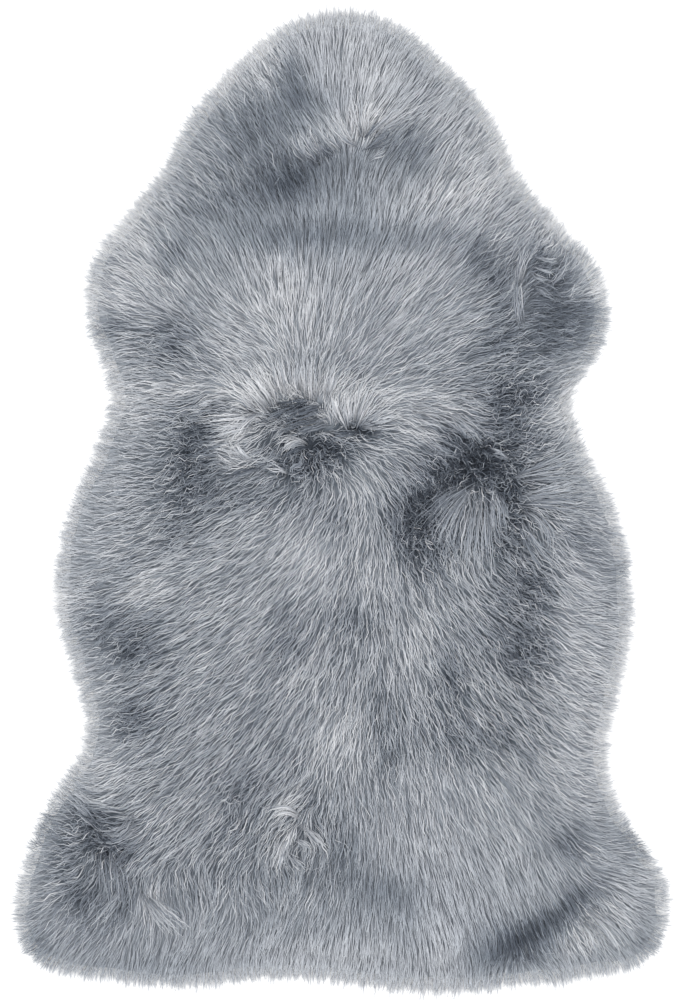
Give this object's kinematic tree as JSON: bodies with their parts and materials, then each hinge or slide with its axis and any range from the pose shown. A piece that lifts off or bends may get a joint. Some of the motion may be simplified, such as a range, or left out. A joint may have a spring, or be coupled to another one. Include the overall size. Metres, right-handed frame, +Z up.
{
  "type": "sheepskin rug",
  "caption": "Long-wool sheepskin rug lying flat: a thin suede hide under a deep, lumpy fleece whose locks hang over the rim.",
  "frame": {"origin": "on the surface the rug lies on, under the middle of its outline's box", "axes": "+X across the pelt, +Y along it towards the narrow neck end, +Z up out of the wool"},
  "size_m": [0.6768, 1.0064, 0.0615],
  "materials": {
    "suede": "matt suede, flesh side out",
    "grey_wool": "long washed wool in silver grey, locks combed outwards"
  },
  "bodies": {
    "root": {"hide": "suede", "fleece": "grey_wool"}
  },
  "joints": []
}
